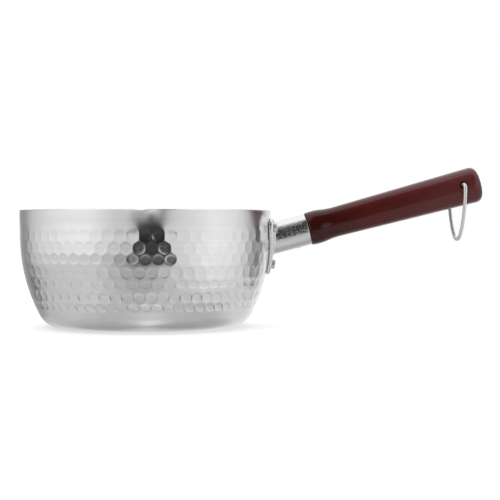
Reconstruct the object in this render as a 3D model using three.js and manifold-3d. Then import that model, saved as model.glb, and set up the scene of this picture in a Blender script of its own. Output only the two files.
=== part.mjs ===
// Hammered aluminium saucepan with a riveted handle socket, a turned wooden handle and a hanging ring.
// Millimetres, +Z up, origin in the middle of the underside, the handle runs towards +X.
import * as THREE from "three";
import { mergeVertices } from "three/addons/utils/BufferGeometryUtils.js";
import Module from "manifold-3d";

const wasm = await Module();
wasm.setup();
const deg = Math.PI / 180;

// Clearance kept between neighbouring pieces
const gap = 0.3;

// Bowl: a steep upper wall and a leaning lower wall, with a wide curve between them
const rimRadius = 92;
const bowlHeight = 85.8;
const wall = 2;
const rimRound = 0.6;
const upperLean = 1.1 * deg;
const lowerLean = 25.5 * deg;
const shoulderHeight = 37.3;
const shoulderFillet = 120;
const heelFillet = 18;

// Hammer marks: staggered rows of shallow dents between two plain bands
const markRows = 7;
const marksPerRow = 66;
const plainBandTop = 14.2;
const plainBandBottom = 14.6;
const markDepth = 0.35;
const markStagger = 0.18;

// Pouring lips, one each side of the handle
const lipBearings = [-90 * deg, 90 * deg];
const lipWidth = 42;
const lipReach = 2.5;
const lipDrop = 1.1;
const lipLength = 15;

// Handle line: where the socket's axis leaves the plate, and how far it rises
const handleTilt = 15 * deg;
const socketBelowRim = 20.8;
const tubeRadius = 11.6;
const tubeWall = 1.2;
const tubeReach = 26;
const flareReach = 0.8;
const flareThickness = 0.9;

// Socket plate: a rounded triangle with a turned-in edge, round three rivets
const plateSheet = 1.4;
const plateDepth = 2.8;
const plateEdgeRound = 1.8;
const plateMargin = 6.4;
const plateToe = 5.7;
const toeMargin = 8.4;

// Rivets
const rivetShank = 2.4;
const rivetHead = 3.4;
const rivetHeadHeight = 2.3;
const rivetHeadRound = 0.6;
const rivetInnerHead = 4.8;
const rivetInnerHeight = 1.3;
const rivetClear = 0.6;

// Wooden handle
const gripLength = 132.5;
const shoulderRadius = 12.15;
const collarRadius = 12.4;
const collarAt = 5.5;
const waistRadius = 11.05;
const waistAt = 21.5;
const buttRadius = 13.25;
const buttRound = 5.4;
const buttDome = 1.1;
const tenonLength = 20;
const tenonChamfer = 1;

// Countersunk screw through the underside of the tube into the tenon
const screwFromShoulder = 10;
const screwHead = 2.7;
const screwShank = 1.3;
const screwLength = 9;
const screwSink = 0.15;
const slotWidth = 0.8;
const slotDepth = 0.6;

// Hanging ring: a wire bail in a cross hole near the butt, drilled a little out of square
const holeFromButt = 16.6;
const holeRise = 2.8;
const holeRadius = 2.2;
const holeSkew = 9 * deg;
const wireRadius = 1.3;
const loopHalfWidth = 17.6;
const loopDrop = 40.3;
const elbow = 3;
const wireEnd = 7;

// Bowl section: the outline's corner points, tangent points and arc centres
const shoulderRadiusOut = rimRadius - (bowlHeight - shoulderHeight) * Math.tan(upperLean);
const heelRadius = shoulderRadiusOut - shoulderHeight * Math.tan(lowerLean);
const heelFlat = heelRadius - heelFillet * Math.tan((Math.PI / 2 - lowerLean) / 2);
const heelTop = heelFillet * (1 - Math.sin(lowerLean));
const halfTurn = (lowerLean - upperLean) / 2;
const shoulderRoom = (shoulderHeight - heelTop) / Math.cos(lowerLean);
const shoulderArc = Math.min(shoulderFillet, shoulderRoom / Math.tan(halfTurn));
const shoulderTangent = shoulderArc * Math.tan(halfTurn);
const shoulderCentreZ =
  shoulderHeight + shoulderTangent * Math.cos(upperLean) + shoulderArc * Math.sin(upperLean);
const shoulderCentreR =
  shoulderRadiusOut + shoulderTangent * Math.sin(upperLean) - shoulderArc * Math.cos(upperLean);

// Radius of the wall at a height, on the outside or at a depth inside it
function wallRadius(z, inset = 0) {
  const heel = heelFillet - inset;
  const arc = shoulderArc - inset;
  if (z < heelFillet - heel * Math.sin(lowerLean)) {
    return heelFlat + Math.sqrt(Math.max(0, heel ** 2 - (heelFillet - z) ** 2));
  }
  if (z < shoulderCentreZ - arc * Math.sin(lowerLean)) {
    return heelRadius + z * Math.tan(lowerLean) - inset / Math.cos(lowerLean);
  }
  if (z < shoulderCentreZ - arc * Math.sin(upperLean)) {
    return shoulderCentreR + Math.sqrt(arc ** 2 - (z - shoulderCentreZ) ** 2);
  }
  return rimRadius - (bowlHeight - z) * Math.tan(upperLean) - inset / Math.cos(upperLean);
}

// Share of the full pouring lip at a bearing and a height
function lipShare(bearing, z) {
  const climb = THREE.MathUtils.clamp(1 - (bowlHeight - z) / lipLength, 0, 1) ** 2;
  const half = lipWidth / 2 / rimRadius;
  let share = 0;
  for (const at of lipBearings) {
    const off = Math.abs(Math.atan2(Math.sin(bearing - at), Math.cos(bearing - at))) / half;
    if (off < 1) {
      share += climb * (0.5 + 0.5 * Math.cos(Math.PI * off)) ** 1.2;
    }
  }
  return share;
}

// Closed solid from a geometry, and back
function solid(geometry) {
  const bare = new THREE.BufferGeometry();
  bare.setAttribute("position", geometry.getAttribute("position"));
  bare.setIndex(geometry.getIndex());
  const merged = mergeVertices(bare, 1e-4);
  const index = merged.getIndex().array;
  const triangles = [];
  for (let i = 0; i < index.length; i += 3) {
    const [a, b, c] = [index[i], index[i + 1], index[i + 2]];
    if (a !== b && b !== c && c !== a) {
      triangles.push(a, b, c);
    }
  }
  const positions = Float32Array.from(merged.getAttribute("position").array);
  return new wasm.Manifold(
    new wasm.Mesh({ numProp: 3, vertProperties: positions, triVerts: Uint32Array.from(triangles) }),
  );
}

function geometryOf(body) {
  const mesh = body.getMesh();
  const geometry = new THREE.BufferGeometry();
  geometry.setAttribute("position", new THREE.BufferAttribute(mesh.vertProperties, 3));
  geometry.setIndex(new THREE.BufferAttribute(mesh.triVerts, 1));
  return geometry;
}

// Turned shapes from [radius, height] outlines, with the axis up or along +X
function upright(outline, segments) {
  const points = outline.map(([r, h]) => new THREE.Vector2(r, h));
  return new THREE.LatheGeometry(points, segments).rotateX(Math.PI / 2);
}

function along(outline, segments) {
  const points = outline.map(([r, h]) => new THREE.Vector2(r, h));
  return new THREE.LatheGeometry(points, segments).rotateZ(-Math.PI / 2);
}

function barAlong(radius, from, to, segments) {
  return along([[0, from], [radius, from], [radius, to], [0, to]], segments);
}

// Solid of revolution that follows the wall between two heights, at a distance outside it
function wallDrum(offset, from, to) {
  const steps = 10;
  const outline = [[0, from]];
  for (let i = 0; i <= steps; i++) {
    const z = from + ((to - from) * i) / steps;
    outline.push([wallRadius(z) + offset, z]);
  }
  outline.push([0, to]);
  return upright(outline, 120);
}

// Skin of points and triangles, built ring by ring
class Skin {
  points = [];
  faces = [];

  point(x, y, z) {
    this.points.push(x, y, z);
    return this.points.length / 3 - 1;
  }

  // Joins two rings of equal count, of double count, or a ring and a single point
  stitch(a, b) {
    const n = Math.min(a.length, b.length);
    if (n === 1) {
      const ring = a.length > 1 ? a : b;
      ring.forEach((p, i) => {
        const q = ring[(i + 1) % ring.length];
        this.faces.push(...(a.length > 1 ? [p, q, b[0]] : [a[0], q, p]));
      });
      return;
    }
    for (let i = 0; i < n; i++) {
      const j = (i + 1) % n;
      if (a.length === b.length) {
        this.faces.push(a[i], a[j], b[j], a[i], b[j], b[i]);
      } else if (b.length === 2 * n) {
        const [p, q, r] = [b[2 * i], b[2 * i + 1], b[(2 * i + 2) % (2 * n)]];
        this.faces.push(a[i], q, p, a[i], a[j], q, a[j], r, q);
      } else {
        const [p, q, r] = [a[2 * i], a[2 * i + 1], a[(2 * i + 2) % (2 * n)]];
        this.faces.push(p, q, b[i], q, b[j], b[i], q, r, b[j]);
      }
    }
  }

  geometry() {
    const geometry = new THREE.BufferGeometry();
    geometry.setAttribute("position", new THREE.Float32BufferAttribute(this.points, 3));
    geometry.setIndex(this.faces);
    return geometry;
  }
}

function bowlSkin() {
  const skin = new Skin();
  const fine = 2 * marksPerRow;
  const pitch = (bowlHeight - plainBandTop - plainBandBottom) / markRows;

  function place(bearing, radius, z) {
    const share = lipShare(bearing, z);
    const r = radius + lipReach * share;
    return skin.point(r * Math.cos(bearing), r * Math.sin(bearing), z - lipDrop * share ** 4);
  }

  // A ring of points on the wall, with an optional height change per point
  function ring(count, z, inset = 0, rise = () => 0) {
    return Array.from({ length: count }, (_, k) => {
      const height = z + rise(k);
      return place((2 * Math.PI * k) / count, wallRadius(height, inset), height);
    });
  }

  function rimRing(inset) {
    return Array.from({ length: fine }, (_, k) =>
      place((2 * Math.PI * k) / fine, wallRadius(bowlHeight, inset), bowlHeight),
    );
  }

  function heelHeights(inset) {
    const heel = heelFillet - inset;
    return [0, 0.35, 0.7, 1].map(
      (t) => heelFillet - heel * Math.cos(t * (Math.PI / 2 - lowerLean)),
    );
  }

  const rings = [];
  rings.push([skin.point(0, 0, 0)]);
  for (const z of heelHeights(0)) {
    rings.push(ring(marksPerRow, z));
  }

  // Zigzag edges between the rows of marks, then one sunk point in the middle of every mark
  const edges = [];
  for (let e = 0; e <= markRows; e++) {
    const rise = (k) => ((k + e) % 2 ? 1 : -1) * markStagger * pitch;
    edges.push(ring(fine, plainBandBottom + e * pitch, 0, rise));
  }
  for (let row = 0; row < markRows; row++) {
    const z = plainBandBottom + (row + 0.5) * pitch;
    const [low, high] = [edges[row], edges[row + 1]];
    for (let m = 0; m < marksPerRow; m++) {
      const k = 2 * m + (row % 2);
      const centre = place((2 * Math.PI * k) / fine, wallRadius(z) - markDepth, z);
      const [i, j] = [(k + fine - 1) % fine, (k + 1) % fine];
      const border = [low[i], low[k], low[j], high[j], high[k], high[i]];
      border.forEach((p, b) => skin.faces.push(centre, p, border[(b + 1) % border.length]));
    }
  }
  rings.push(edges[0]);
  const upper = [edges[markRows]];
  for (const share of [0.3, 0.55, 0.78]) {
    upper.push(ring(fine, bowlHeight - plainBandTop * (1 - share)));
  }
  upper.push(ring(fine, bowlHeight - rimRound));
  upper.push(rimRing(rimRound));
  upper.push(rimRing(wall - rimRound));
  for (const share of [0, 0.05, 0.12, 0.22, 0.32, 0.41, 0.5]) {
    upper.push(ring(fine, (bowlHeight - rimRound) * (1 - share), wall));
  }
  for (const share of [0.66, 0.8]) {
    upper.push(ring(marksPerRow, (bowlHeight - rimRound) * (1 - share), wall));
  }
  for (const z of heelHeights(wall).reverse()) {
    upper.push(ring(marksPerRow, z, wall));
  }
  upper.push([skin.point(0, 0, wall)]);
  for (const list of [rings, upper]) {
    for (let i = 0; i + 1 < list.length; i++) {
      skin.stitch(list[i], list[i + 1]);
    }
  }
  return skin.geometry();
}

// Where the plate, the tube and the rivets sit
const socketHeight = bowlHeight - socketBelowRim;
const flareHalfHeight = (tubeRadius + flareReach) / Math.cos(handleTilt);
const plateTop = socketHeight + flareHalfHeight + gap + plateSheet;
const faceOffset = gap + plateDepth;
const faceRadius = wallRadius(socketHeight) + faceOffset;
const upperRivetHeight = plateTop - plateMargin;
const rivetFromAxis = tubeRadius / Math.cos(handleTilt) + rivetHead + rivetClear;
const upperRivetSide = Math.sqrt(rivetFromAxis ** 2 - (upperRivetHeight - socketHeight) ** 2);
const lowerRivetHeight = socketHeight - flareHalfHeight - plateToe;
const rivets = {
  rivet_upper_near: [-upperRivetSide, upperRivetHeight],
  rivet_upper_far: [upperRivetSide, upperRivetHeight],
  rivet_lower: [0, lowerRivetHeight],
};
const handleFrame = new THREE.Matrix4()
  .makeRotationY(-handleTilt)
  .setPosition(faceRadius, 0, socketHeight);
const intoHandleFrame = handleFrame.clone().invert();

// Outline of the plate, moved in from its edge; side runs round the pan, z up
function plateOutline(inset) {
  const corners = Object.values(rivets);
  const [near, far, low] = corners.map(([side, z]) => new THREE.Vector2(side, z));
  const [round, toe] = [plateMargin - inset, toeMargin - inset];
  const spread = Math.asin((toeMargin - plateMargin) / far.distanceTo(low));
  const turn = Math.atan2(far.x, far.y - low.y) - spread;
  const path = new THREE.Path();
  path.absarc(far.x, far.y, round, -turn, Math.PI / 2);
  path.absarc(near.x, near.y, round, Math.PI / 2, Math.PI + turn);
  path.absarc(low.x, low.y, toe, Math.PI + turn, 2 * Math.PI - turn);
  path.closePath();
  return path.getSpacedPoints(36).slice(0, -1);
}

function plateSkin() {
  const skin = new Skin();
  const middle = new THREE.Vector2(0, (2 * upperRivetHeight + lowerRivetHeight) / 3);

  function bend({ x, y }, depth) {
    const bearing = x / faceRadius;
    const r = wallRadius(y) + gap + depth;
    return skin.point(r * Math.cos(bearing), r * Math.sin(bearing), y);
  }

  function ring(inset, depth, scale = 1) {
    return plateOutline(inset).map((p) =>
      bend(p.clone().sub(middle).multiplyScalar(scale).add(middle), depth),
    );
  }

  const back = plateDepth - plateSheet;
  const inner = Math.max(plateEdgeRound - plateSheet, 0.2);
  const deep = plateMargin * 0.6;
  const rings = [[bend(middle, back)]];
  rings.push(ring(deep, back, 0.5), ring(deep, back));
  rings.push(ring(plateSheet + inner, back), ring(plateSheet, back - inner));
  rings.push(ring(plateSheet, 0), ring(0, 0));
  for (const t of [0, 1 / 3, 2 / 3, 1]) {
    const [lean, lift] = [1 - Math.cos((t * Math.PI) / 2), Math.sin((t * Math.PI) / 2)];
    rings.push(ring(plateEdgeRound * lean, plateDepth - plateEdgeRound * (1 - lift)));
  }
  rings.push(ring(deep, plateDepth), ring(deep, plateDepth, 0.5));
  rings.push([bend(middle, plateDepth)]);
  for (let i = 0; i + 1 < rings.length; i++) {
    skin.stitch(rings[i], rings[i + 1]);
  }
  return skin.geometry();
}

// Puts a shape that runs along +X from the wall's outer face square to the wall at a rivet
function rivetLine([side, z], geometry) {
  const lean = Math.atan((wallRadius(z + 1) - wallRadius(z - 1)) / 2);
  return geometry.rotateY(lean).translate(wallRadius(z), 0, z).rotateZ(side / faceRadius);
}

function rivetBody([side, z]) {
  const seat = -wall - gap;
  const face = faceOffset + gap;
  const end = face + rivetHeadHeight;
  const shaft = along(
    [
      [0, seat - rivetInnerHeight / 2],
      [rivetShank, seat - rivetInnerHeight / 2],
      [rivetShank, face],
      [rivetHead, face],
      [rivetHead, end - rivetHeadRound],
      [rivetHead - 0.3 * rivetHeadRound, end - 0.3 * rivetHeadRound],
      [rivetHead - rivetHeadRound, end],
      [0, end],
    ],
    24,
  );
  const cap = along(
    [
      [0, seat - rivetInnerHeight],
      [rivetInnerHead * 0.6, seat - rivetInnerHeight * 0.85],
      [rivetInnerHead, seat - rivetInnerHeight * 0.35],
      [rivetInnerHead, seat + 2 * rivetInnerHeight],
      [0, seat + 2 * rivetInnerHeight],
    ],
    24,
  );
  const cavity = wallDrum(-wall - 1.1 * gap, z - 2 * rivetInnerHead, z + 2 * rivetInnerHead);
  const seated = solid(rivetLine([side, z], cap)).intersect(solid(cavity));
  return solid(rivetLine([side, z], shaft)).add(seated);
}

// Tube in the handle's frame: axis along +X, zero at the face of the plate
function tubeBody() {
  const flareOut = faceOffset - plateSheet - gap;
  const [low, high] = [socketHeight - 2 * tubeRadius, bowlHeight];
  const behind = solid(wallDrum(flareOut, low, high).applyMatrix4(intoHandleFrame));
  const inside = solid(
    wallDrum(flareOut - flareThickness, low, high).applyMatrix4(intoHandleFrame),
  );
  const flare = solid(barAlong(tubeRadius + flareReach, -tubeRadius, tubeReach, 48));
  const pipe = solid(barAlong(tubeRadius, -tubeRadius, tubeReach, 48));
  const bore = solid(barAlong(tubeRadius - tubeWall, -2 * tubeRadius, tubeReach + 1, 48));
  return flare.intersect(behind).add(pipe).subtract(inside).subtract(bore);
}

// Handle in the same frame: tenon, shoulder, collar, waist, taper and rounded butt
const gripStart = tubeReach + gap;
const gripEnd = gripStart + gripLength;
const tenonRadius = tubeRadius - tubeWall - gap;

function handleBody() {
  const path = new THREE.Path();
  path.moveTo(0, gripStart - tenonLength);
  path.lineTo(tenonRadius - tenonChamfer, gripStart - tenonLength);
  path.lineTo(tenonRadius, gripStart - tenonLength + tenonChamfer);
  path.lineTo(tenonRadius, gripStart);
  path.lineTo(shoulderRadius - 0.6, gripStart);
  path.lineTo(shoulderRadius, gripStart + 0.6);
  const [c, w] = [gripStart + collarAt, gripStart + waistAt];
  path.quadraticCurveTo(collarRadius, gripStart + collarAt / 2, collarRadius, c);
  path.bezierCurveTo(collarRadius, c + 0.4 * (w - c), waistRadius, c + 0.5 * (w - c), waistRadius, w);
  path.lineTo(buttRadius, gripEnd - buttDome - buttRound);
  const face = gripEnd - buttDome;
  path.quadraticCurveTo(buttRadius, face, buttRadius - buttRound, face + 0.35 * buttDome);
  path.quadraticCurveTo((buttRadius - buttRound) / 2, gripEnd, 0, gripEnd);
  const outline = path.getPoints(5).map((p) => [p.x, p.y]);
  return solid(along(outline, 32));
}

// Centre of the cross hole in the handle's frame
const holeAt = new THREE.Vector3(gripEnd - holeFromButt, 0, holeRise);

function crossHole() {
  const length = 4 * buttRadius;
  return solid(
    new THREE.CylinderGeometry(holeRadius, holeRadius, length, 20)
      .rotateZ(holeSkew)
      .rotateY(handleTilt)
      .translate(holeAt.x, holeAt.y, holeAt.z),
  );
}

// Screw standing on the tube's underside; extra widens it into the cutter for its hole
function screwBody(extra = 0) {
  const top = extra > 0 ? screwHead : -screwSink;
  const neck = -screwSink - (screwHead - screwShank);
  const outline = [
    [0, -screwLength - extra],
    [screwShank * 0.5 + extra, -screwLength + screwShank - extra],
    [screwShank + extra, -screwLength + 2 * screwShank],
    [screwShank + extra, neck],
    [screwHead + extra, -screwSink],
    [screwHead + extra, top],
    [0, top],
  ];
  const points = outline.map(([r, h]) => new THREE.Vector2(r, h));
  const turned = new THREE.LatheGeometry(points, 20)
    .rotateX(-Math.PI / 2)
    .translate(gripStart - screwFromShoulder, 0, -tubeRadius);
  return solid(turned);
}

function screwSlot() {
  const slot = new THREE.BoxGeometry(4 * screwHead, slotWidth, 2 * slotDepth);
  return solid(slot.translate(gripStart - screwFromShoulder, 0, screwSink - tubeRadius));
}

// Bent wire: end in the hole, elbow, leg, round bend, and the same up the other side
function ringGeometry() {
  const at = (side, drop) => new THREE.Vector3(0, side, -drop);
  const path = new THREE.CurvePath();
  const [w, mouth, end] = [loopHalfWidth, loopHalfWidth - elbow, loopHalfWidth - elbow - wireEnd];
  const [knee, toe] = [0.45 * loopDrop, 0.55 * w];
  const [left, right] = [at(-w, knee), at(w, knee)];
  const bottom = at(0, loopDrop);
  path.add(new THREE.LineCurve3(at(-end, 0), at(-mouth, 0)));
  path.add(new THREE.QuadraticBezierCurve3(at(-mouth, 0), at(-w, 0), at(-w, elbow)));
  path.add(new THREE.CubicBezierCurve3(at(-w, elbow), left, at(-toe, loopDrop), bottom));
  path.add(new THREE.CubicBezierCurve3(bottom, at(toe, loopDrop), right, at(w, elbow)));
  path.add(new THREE.QuadraticBezierCurve3(at(w, elbow), at(w, 0), at(mouth, 0)));
  path.add(new THREE.LineCurve3(at(mouth, 0), at(end, 0)));
  const wire = new THREE.Shape().absarc(0, 0, wireRadius, 0, 2 * Math.PI);
  return new THREE.ExtrudeGeometry(wire, {
    steps: 72,
    curveSegments: 5,
    extrudePath: path,
    bevelEnabled: false,
  });
}

// Finishes
const aluminium = { color: 0xc8cacc, roughness: 0.34, metalness: 1 };
const chrome = { color: 0xd6d8da, roughness: 0.12, metalness: 1 };
const rivetMetal = { color: 0xbfc1c3, roughness: 0.3, metalness: 1 };
const lacqueredWood = { color: 0x3c1512, roughness: 0.25, metalness: 0 };
const steelWire = { color: 0xc2c3c4, roughness: 0.28, metalness: 1 };

function node(name, body, finish) {
  const geometry = body.isBufferGeometry ? geometryOf(solid(body)) : geometryOf(body);
  const mesh = new THREE.Mesh(geometry, new THREE.MeshStandardMaterial(finish));
  mesh.name = name;
  return mesh;
}

// Assembly
const saucepan = new THREE.Group();
saucepan.name = "saucepan";

let bowl = solid(bowlSkin());
let plate = solid(plateSkin());
for (const spot of Object.values(rivets)) {
  const line = barAlong(rivetShank + gap, -5 * wall, 3 * faceOffset, 24);
  const cutter = solid(rivetLine(spot, line));
  bowl = bowl.subtract(cutter);
  plate = plate.subtract(cutter);
}
const tubePassage = barAlong(tubeRadius + gap, -2 * tubeRadius, tubeReach, 48);
plate = plate.subtract(solid(tubePassage.applyMatrix4(handleFrame)));
saucepan.add(node("pan_body", bowl, aluminium));
saucepan.add(node("socket_plate", plate, chrome));
for (const [name, spot] of Object.entries(rivets)) {
  saucepan.add(node(name, rivetBody(spot), rivetMetal));
}

const handleLine = new THREE.Group();
handleLine.name = "handle_line";
handleLine.position.setFromMatrixPosition(handleFrame);
handleLine.rotation.y = -handleTilt;
const screwHole = screwBody(gap);
handleLine.add(node("socket_tube", tubeBody().subtract(screwHole), chrome));
const grip = handleBody().subtract(screwHole).subtract(crossHole());
handleLine.add(node("wooden_handle", grip, lacqueredWood));
handleLine.add(node("handle_screw", screwBody().subtract(screwSlot()), steelWire));
saucepan.add(handleLine);

const ring = node("hanging_ring", ringGeometry(), steelWire);
ring.position.copy(holeAt.clone().applyMatrix4(handleFrame));
ring.rotation.z = holeSkew;
saucepan.add(ring);

export default saucepan;
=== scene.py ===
import math

import bmesh
import bpy
import numpy as np
from mathutils import Matrix, Vector


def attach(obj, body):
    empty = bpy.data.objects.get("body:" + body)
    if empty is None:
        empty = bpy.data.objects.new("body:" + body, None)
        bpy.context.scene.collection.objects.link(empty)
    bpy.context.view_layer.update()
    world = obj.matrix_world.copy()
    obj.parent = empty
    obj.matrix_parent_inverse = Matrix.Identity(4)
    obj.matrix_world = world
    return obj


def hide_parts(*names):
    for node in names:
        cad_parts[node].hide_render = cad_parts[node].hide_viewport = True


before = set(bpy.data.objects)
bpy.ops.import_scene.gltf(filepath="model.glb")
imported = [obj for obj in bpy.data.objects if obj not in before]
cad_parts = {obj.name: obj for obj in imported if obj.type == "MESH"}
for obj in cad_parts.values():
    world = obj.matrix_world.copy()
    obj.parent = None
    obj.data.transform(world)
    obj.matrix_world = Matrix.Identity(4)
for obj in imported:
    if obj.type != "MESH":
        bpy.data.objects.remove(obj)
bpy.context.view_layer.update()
MM = 0.001
deg = math.pi / 180

# Sizes in millimetres, as in the part's source unless a comment says otherwise
GAP = 0.3

# Bowl
RIM_R = 92.0
HEIGHT = 85.8
WALL = 2.0
RIM_ROUND = 0.6
UPPER_LEAN = 1.1 * deg
LOWER_LEAN = 25.5 * deg
SHOULDER_Z = 37.3
SHOULDER_ARC = 120.0
HEEL = 18.0

# Pouring lips: narrower and longer than the solid's, to suit the photograph, and with a hair less
# reach, to stay inside its box
LIP_BEARINGS = (-90 * deg, 90 * deg)
LIP_WIDTH = 37.0
LIP_REACH = 2.45
LIP_DROP = 1.1
LIP_LENGTH = 18.0
# Powers by which a lip swells towards the rim and narrows to its sides
LIP_SWELL = 2.4
LIP_NARROWING = 2.2
# Rise of the rim at a lip for each millimetre inwards
LIP_TILT = 0.33

# Socket tube and its plate
TILT = 15 * deg
SOCKET_BELOW_RIM = 20.8
TUBE_R = 11.6
TUBE_WALL = 1.2
TUBE_REACH = 26.0
FLARE = 0.8
SHEET = 1.4
PLATE_DEPTH = 2.8
PLATE_ROUND = 1.8
PLATE_MARGIN = 6.4
PLATE_TOE = 5.7
TOE_MARGIN = 8.4

# Rivets
RIVET_SHANK = 2.4
RIVET_HEAD = 3.4
RIVET_HEIGHT = 2.3
RIVET_EDGE = 0.6
RIVET_IN = 4.8
RIVET_IN_H = 1.3
RIVET_CLEAR = 0.6

# Wooden handle, with a grip a hair shorter than the solid's to stay inside its box
GRIP = 132.45
SHOULDER_R = 12.15
COLLAR_R = 12.4
COLLAR_AT = 5.5
WAIST_R = 11.05
WAIST_AT = 21.5
BUTT_R = 13.25
BUTT_ROUND = 5.4
BUTT_DOME = 1.1
TENON = 20.0
TENON_CHAMFER = 1.0
HOLE_FROM_BUTT = 16.6
HOLE_RISE = 2.8
HOLE_R = 2.2
HOLE_SKEW = 9 * deg

# Hanging ring
WIRE_R = 1.3
LOOP_W = 17.6
LOOP_DROP = 40.3
ELBOW = 3.0
WIRE_END = 7.0

# Bowl section
corner_r = RIM_R - (HEIGHT - SHOULDER_Z) * math.tan(UPPER_LEAN)
heel_r = corner_r - SHOULDER_Z * math.tan(LOWER_LEAN)
heel_flat = heel_r - HEEL * math.tan((math.pi / 2 - LOWER_LEAN) / 2)
tangent = SHOULDER_ARC * math.tan((LOWER_LEAN - UPPER_LEAN) / 2)
arc_z = SHOULDER_Z + tangent * math.cos(UPPER_LEAN) + SHOULDER_ARC * math.sin(UPPER_LEAN)
arc_r = corner_r + tangent * math.sin(UPPER_LEAN) - SHOULDER_ARC * math.cos(UPPER_LEAN)


def wall_radius(z, inset=0.0):
    """Radius of the plain wall at a height, or of a wall that lies inside it by the inset."""
    heel = HEEL - inset
    arc = SHOULDER_ARC - inset
    if z < HEEL - heel * math.sin(LOWER_LEAN):
        return heel_flat + math.sqrt(max(0.0, heel**2 - (HEEL - z) ** 2))
    if z < arc_z - arc * math.sin(LOWER_LEAN):
        return heel_r + z * math.tan(LOWER_LEAN) - inset / math.cos(LOWER_LEAN)
    if z < arc_z - arc * math.sin(UPPER_LEAN):
        return arc_r + math.sqrt(arc**2 - (z - arc_z) ** 2)
    return RIM_R - (HEIGHT - z) * math.tan(UPPER_LEAN) - inset / math.cos(UPPER_LEAN)


def wall_lean(z):
    return math.atan((wall_radius(z + 1) - wall_radius(z - 1)) / 2)


# Where the socket, the plate, the rivets and the handle sit
socket_z = HEIGHT - SOCKET_BELOW_RIM
flare_half = (TUBE_R + FLARE) / math.cos(TILT)
plate_top = socket_z + flare_half + GAP + SHEET
face_offset = GAP + PLATE_DEPTH
face_r = wall_radius(socket_z) + face_offset
upper_z = plate_top - PLATE_MARGIN
from_axis = TUBE_R / math.cos(TILT) + RIVET_HEAD + RIVET_CLEAR
upper_side = math.sqrt(from_axis**2 - (upper_z - socket_z) ** 2)
lower_z = socket_z - flare_half - PLATE_TOE
RIVETS = {
    "rivet_upper_near": (-upper_side, upper_z),
    "rivet_upper_far": (upper_side, upper_z),
    "rivet_lower": (0.0, lower_z),
}
grip_start = TUBE_REACH + GAP
grip_end = grip_start + GRIP
axis_dir = Vector((math.cos(TILT), 0, math.sin(TILT)))
axis_up = Vector((-math.sin(TILT), 0, math.cos(TILT)))
axis_side = Vector((0, 1, 0))
axis_from = Vector((face_r, 0, socket_z))
hole_at = axis_from + axis_dir * (grip_end - HOLE_FROM_BUTT) + axis_up * HOLE_RISE
hole_dir = Vector((-math.sin(HOLE_SKEW), math.cos(HOLE_SKEW), 0))
hole_cross = Vector((math.cos(HOLE_SKEW), math.sin(HOLE_SKEW), 0))
UP = Vector((0, 0, 1))


# Mesh helpers: points in millimetres, meshes in metres
def mesh_of(name, verts, faces):
    mesh = bpy.data.meshes.new(name)
    mesh.from_pydata([tuple(float(c) * MM for c in v) for v in verts], [], faces)
    bm = bmesh.new()
    bm.from_mesh(mesh)
    bmesh.ops.recalc_face_normals(bm, faces=bm.faces)
    bm.to_mesh(mesh)
    bm.free()
    return mesh


def add_object(name, data):
    obj = bpy.data.objects.new(name, data)
    bpy.context.scene.collection.objects.link(obj)
    return obj


def shade(mesh, sharp_from):
    mesh.polygons.foreach_set("use_smooth", [True] * len(mesh.polygons))
    mesh.set_sharp_from_angle(angle=sharp_from * deg)


def piece(name, shape, body, node_name, finish, sharp_from=40):
    """A dressed piece that stands in for a solid's node and rides on its body."""
    obj = add_object(name, mesh_of(name, *shape))
    shade(obj.data, sharp_from)
    obj.data.materials.append(finish)
    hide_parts(node_name)
    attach(obj, body)
    return obj


def loft(rings, close_start=True, close_end=True):
    """Rings joined in order; a ring may have a whole multiple of the next one's points."""
    verts, faces, starts = [], [], []
    for ring in rings:
        starts.append(len(verts))
        verts.extend(ring)
    for r in range(len(rings) - 1):
        a, b = starts[r], starts[r + 1]
        na, nb = len(rings[r]), len(rings[r + 1])
        n = min(na, nb)
        for i in range(n):
            lower = [a + (i * na // n + s) % na for s in range(na // n + 1)]
            upper = [b + (i * nb // n + s) % nb for s in range(nb // n + 1)]
            faces.append(tuple(lower + upper[::-1]))
    for closed, r in ((close_start, 0), (close_end, len(rings) - 1)):
        if closed:
            n, start = len(rings[r]), starts[r]
            verts.append(tuple(np.mean(np.array(rings[r], dtype=float), axis=0)))
            faces.extend((start + i, start + (i + 1) % n, len(verts) - 1) for i in range(n))
    return verts, faces


def lathe(profile, segments, place):
    """A (radius, along) profile turned round an axis; place maps (radius, turn, along)."""
    turns = [2 * math.pi * k / segments for k in range(segments)]
    return loft([[place(r, a, h) for a in turns] for r, h in profile])


def curve(points, steps):
    """Curve from the first to the last of its control points, bent towards those between."""
    t = np.linspace(0, 1, steps)[:, None]
    p = [np.array(q, dtype=float) for q in points]
    while len(p) > 1:
        p = [(1 - t) * a + t * b for a, b in zip(p, p[1:])]
    return [tuple(q) for q in p[0]]


def quarter(steps):
    return np.linspace(0, math.pi / 2, steps)


def turns_of(count):
    return np.arange(count) * 2 * math.pi / count


def soft(low, high, value):
    """Smooth step from 0 at low to 1 at high."""
    t = np.clip((value - low) / (high - low), 0, 1)
    return t * t * (3 - 2 * t)


def blend(low, high, share):
    return low + (high - low) * share


def handle_point(r, a, t):
    return tuple(axis_from + axis_dir * t + axis_up * (r * math.sin(a)) + axis_side * (r * math.cos(a)))


def hole_point(r, a, h):
    return tuple(hole_at + hole_dir * h + hole_cross * (r * math.cos(a)) + UP * (r * math.sin(a)))


# Material helpers
# Sockets of a Mix node, for numbers and for colours
MIX_SHARE = 0
NUMBER_A = 2
NUMBER_B = 3
COLOUR_A = 6
COLOUR_B = 7
COLOUR_OUT = 2
# Most values of a noise texture lie between these two
NOISE_LOW = 0.3
NOISE_HIGH = 0.7
# Metres of noise for each radian of turn round the pan
TURN_SCALE = 0.0015


def material(name):
    m = bpy.data.materials.new(name)
    m.use_nodes = True
    return m, m.node_tree.nodes, m.node_tree.links, m.node_tree.nodes["Principled BSDF"]


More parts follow.
